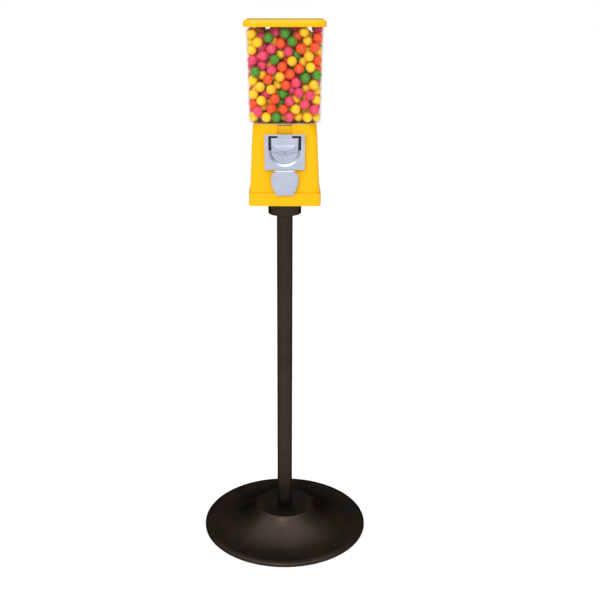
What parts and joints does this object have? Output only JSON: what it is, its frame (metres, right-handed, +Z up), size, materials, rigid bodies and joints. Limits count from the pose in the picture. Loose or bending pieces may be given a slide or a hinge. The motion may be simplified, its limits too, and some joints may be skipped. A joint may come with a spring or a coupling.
{
  "type": "gumball machine",
  "caption": "Coin-operated gumball machine with a square clear globe, turn handle and hinged chute flap, on a pole stand with a round cast base.",
  "frame": {"origin": "on the floor at the centre of the round base", "axes": "+Z up along the pole, -Y out of the front with the handle and chute, +X to the right seen from behind the handle as a customer faces it"},
  "size_m": [0.423, 0.423, 1.288],
  "materials": {
    "bronze_casting": "satin bronze-black enamel on cast iron",
    "bronze_tube": "satin bronze-black enamel on steel tube",
    "yellow_paint": "gloss yellow enamel on die-cast metal",
    "satin_silver": "satin chrome plate on die-cast zinc",
    "plated_steel": "zinc-plated steel",
    "raw_zinc": "bare die-cast alloy",
    "black_zinc": "matte black die casting",
    "yellow_brass": "machined brass",
    "white_plastic": "white moulded plastic",
    "clear_globe": "clear moulded polycarbonate",
    "pale_rubber": "pale rubber sheet",
    "candy_yellow": "glossy sugar shell",
    "candy_pink": "glossy sugar shell",
    "candy_orange": "glossy sugar shell",
    "candy_green": "glossy sugar shell"
  },
  "bodies": {
    "stand_and_head": {"stand_base": "bronze_casting", "stand_pole": "bronze_tube", "top_collar": "bronze_casting", "tie_rod": "plated_steel", "tie_nuts": "plated_steel", "tie_washer": "plated_steel", "collar_bolts": "plated_steel", "base_tray": "yellow_paint", "body_housing": "yellow_paint", "center_rod": "plated_steel", "rod_nut": "plated_steel", "globe_gasket": "pale_rubber", "globe": "clear_globe", "wheel_housing": "raw_zinc", "ball_guard": "raw_zinc", "guard_screw": "plated_steel", "chute": "raw_zinc", "flap_pin": "plated_steel", "mech_faceplate": "satin_silver", "mech_frame": "black_zinc", "mech_screws": "plated_steel", "pawl_pin": "plated_steel", "pawl_spring": "plated_steel", "gumballs_yellow": "candy_yellow", "gumballs_pink": "candy_pink", "gumballs_orange": "candy_orange", "gumballs_green": "candy_green"},
    "handle_body": {"handle": "satin_silver", "handle_shaft": "plated_steel", "coin_carrier": "yellow_brass", "ratchet_wheel": "plated_steel", "drive_pinion": "yellow_brass", "shaft_clip": "plated_steel"},
    "wheel": {"dispensing_wheel": "white_plastic", "agitator": "raw_zinc", "wheel_gumballs": "candy_pink"},
    "flap": {"chute_flap": "satin_silver"},
    "pawl": {"pawl": "plated_steel"},
    "lid": {"lid": "yellow_paint", "lock_barrel": "satin_silver"},
    "lock": {"lock_cylinder": "plated_steel"}
  },
  "joints": [
    {"name": "handle_turn", "type": "hinge", "parent": "stand_and_head", "child": "handle_body", "pos_m": [0, -0.08, 1.008], "axis": [0, 1, 0], "continuous": true},
    {"name": "wheel_turn", "type": "hinge", "parent": "stand_and_head", "child": "wheel", "pos_m": [0, 0, 1.028], "axis": [0, 0, 1], "continuous": true},
    {"name": "flap_swing", "type": "hinge", "parent": "stand_and_head", "child": "flap", "pos_m": [0, -0.085, 0.9605], "axis": [-1, 0, 0], "range_deg": [0, 70]},
    {"name": "pawl_rock", "type": "hinge", "parent": "stand_and_head", "child": "pawl", "pos_m": [0.0076, -0.069, 1.0292], "axis": [0, -1, 0], "range_deg": [-6.5, 3.5], "stiffness_Nm_per_rad": 0.01},
    {"name": "lid_lift", "type": "slide", "parent": "stand_and_head", "child": "lid", "axis": [0, 0, 1], "range_m": [0, 0.12]},
    {"name": "lock_turn", "type": "hinge", "parent": "lid", "child": "lock", "pos_m": [0, 0, 1.28], "axis": [0, 0, 1], "range_deg": [0, 90]}
  ],
  "couplings": [
    {"joint": "wheel_turn", "follows": "handle_turn", "ratio": 0.25}
  ]
}
